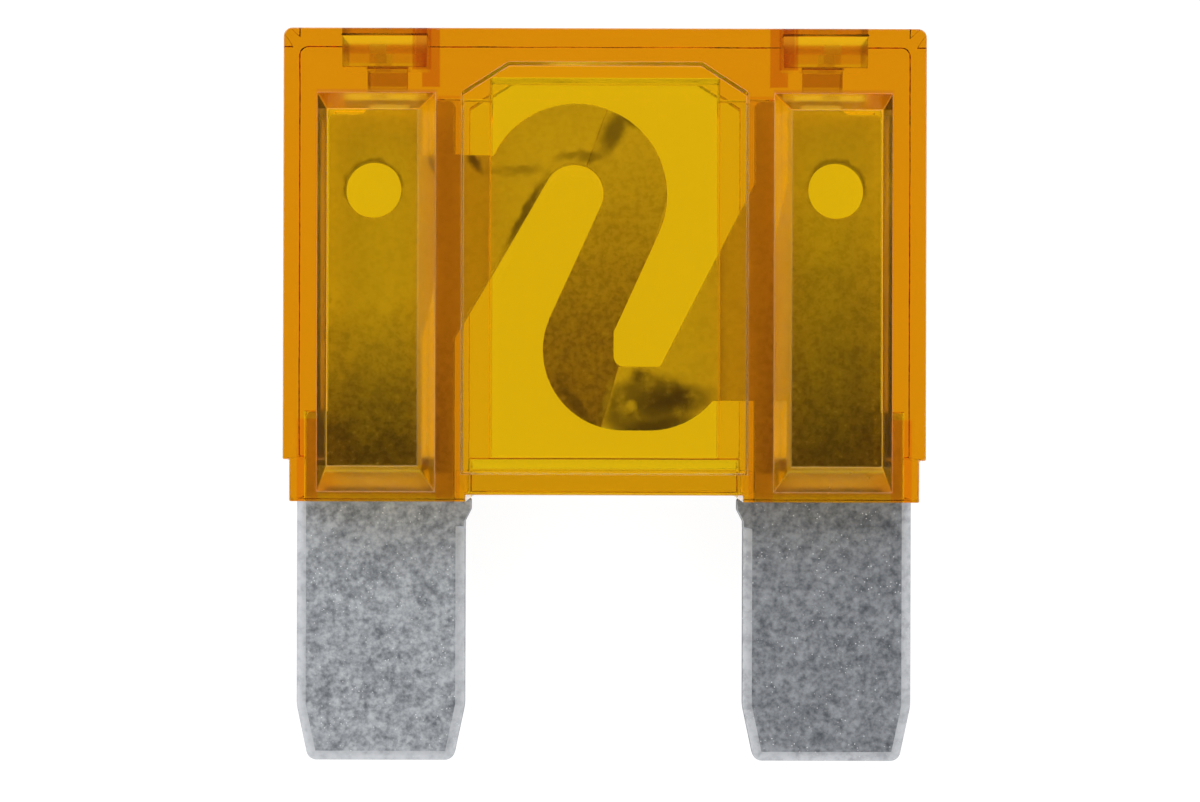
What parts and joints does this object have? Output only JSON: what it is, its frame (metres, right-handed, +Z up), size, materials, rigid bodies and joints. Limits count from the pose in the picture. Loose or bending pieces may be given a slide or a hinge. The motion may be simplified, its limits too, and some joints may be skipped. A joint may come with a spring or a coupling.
{
  "type": "automotive blade fuse",
  "caption": "Large high-current automotive blade fuse: clear amber housing with sunken windows and test wells over a stamped metal element with an S-shaped link and flat blades.",
  "frame": {"origin": "under the middle of the whole fuse, on the surface that its back face lies on", "axes": "+X across the width, +Y from the blades towards the head of the housing, +Z up out of the front face"},
  "size_m": [0.0292, 0.034, 0.0089],
  "materials": {
    "amber_housing": "clear amber moulding with polished faces and small moulded edge rounds; metal inside shows through it",
    "amber_closure": "the same clear amber plastic, slightly less polished",
    "plated_metal": "plated sheet metal with a fine dull grain and light specks, brighter on its coined edges"
  },
  "bodies": {
    "root": {"housing": "amber_housing", "bottom_closure": "amber_closure", "fuse_element": "plated_metal"}
  },
  "joints": []
}
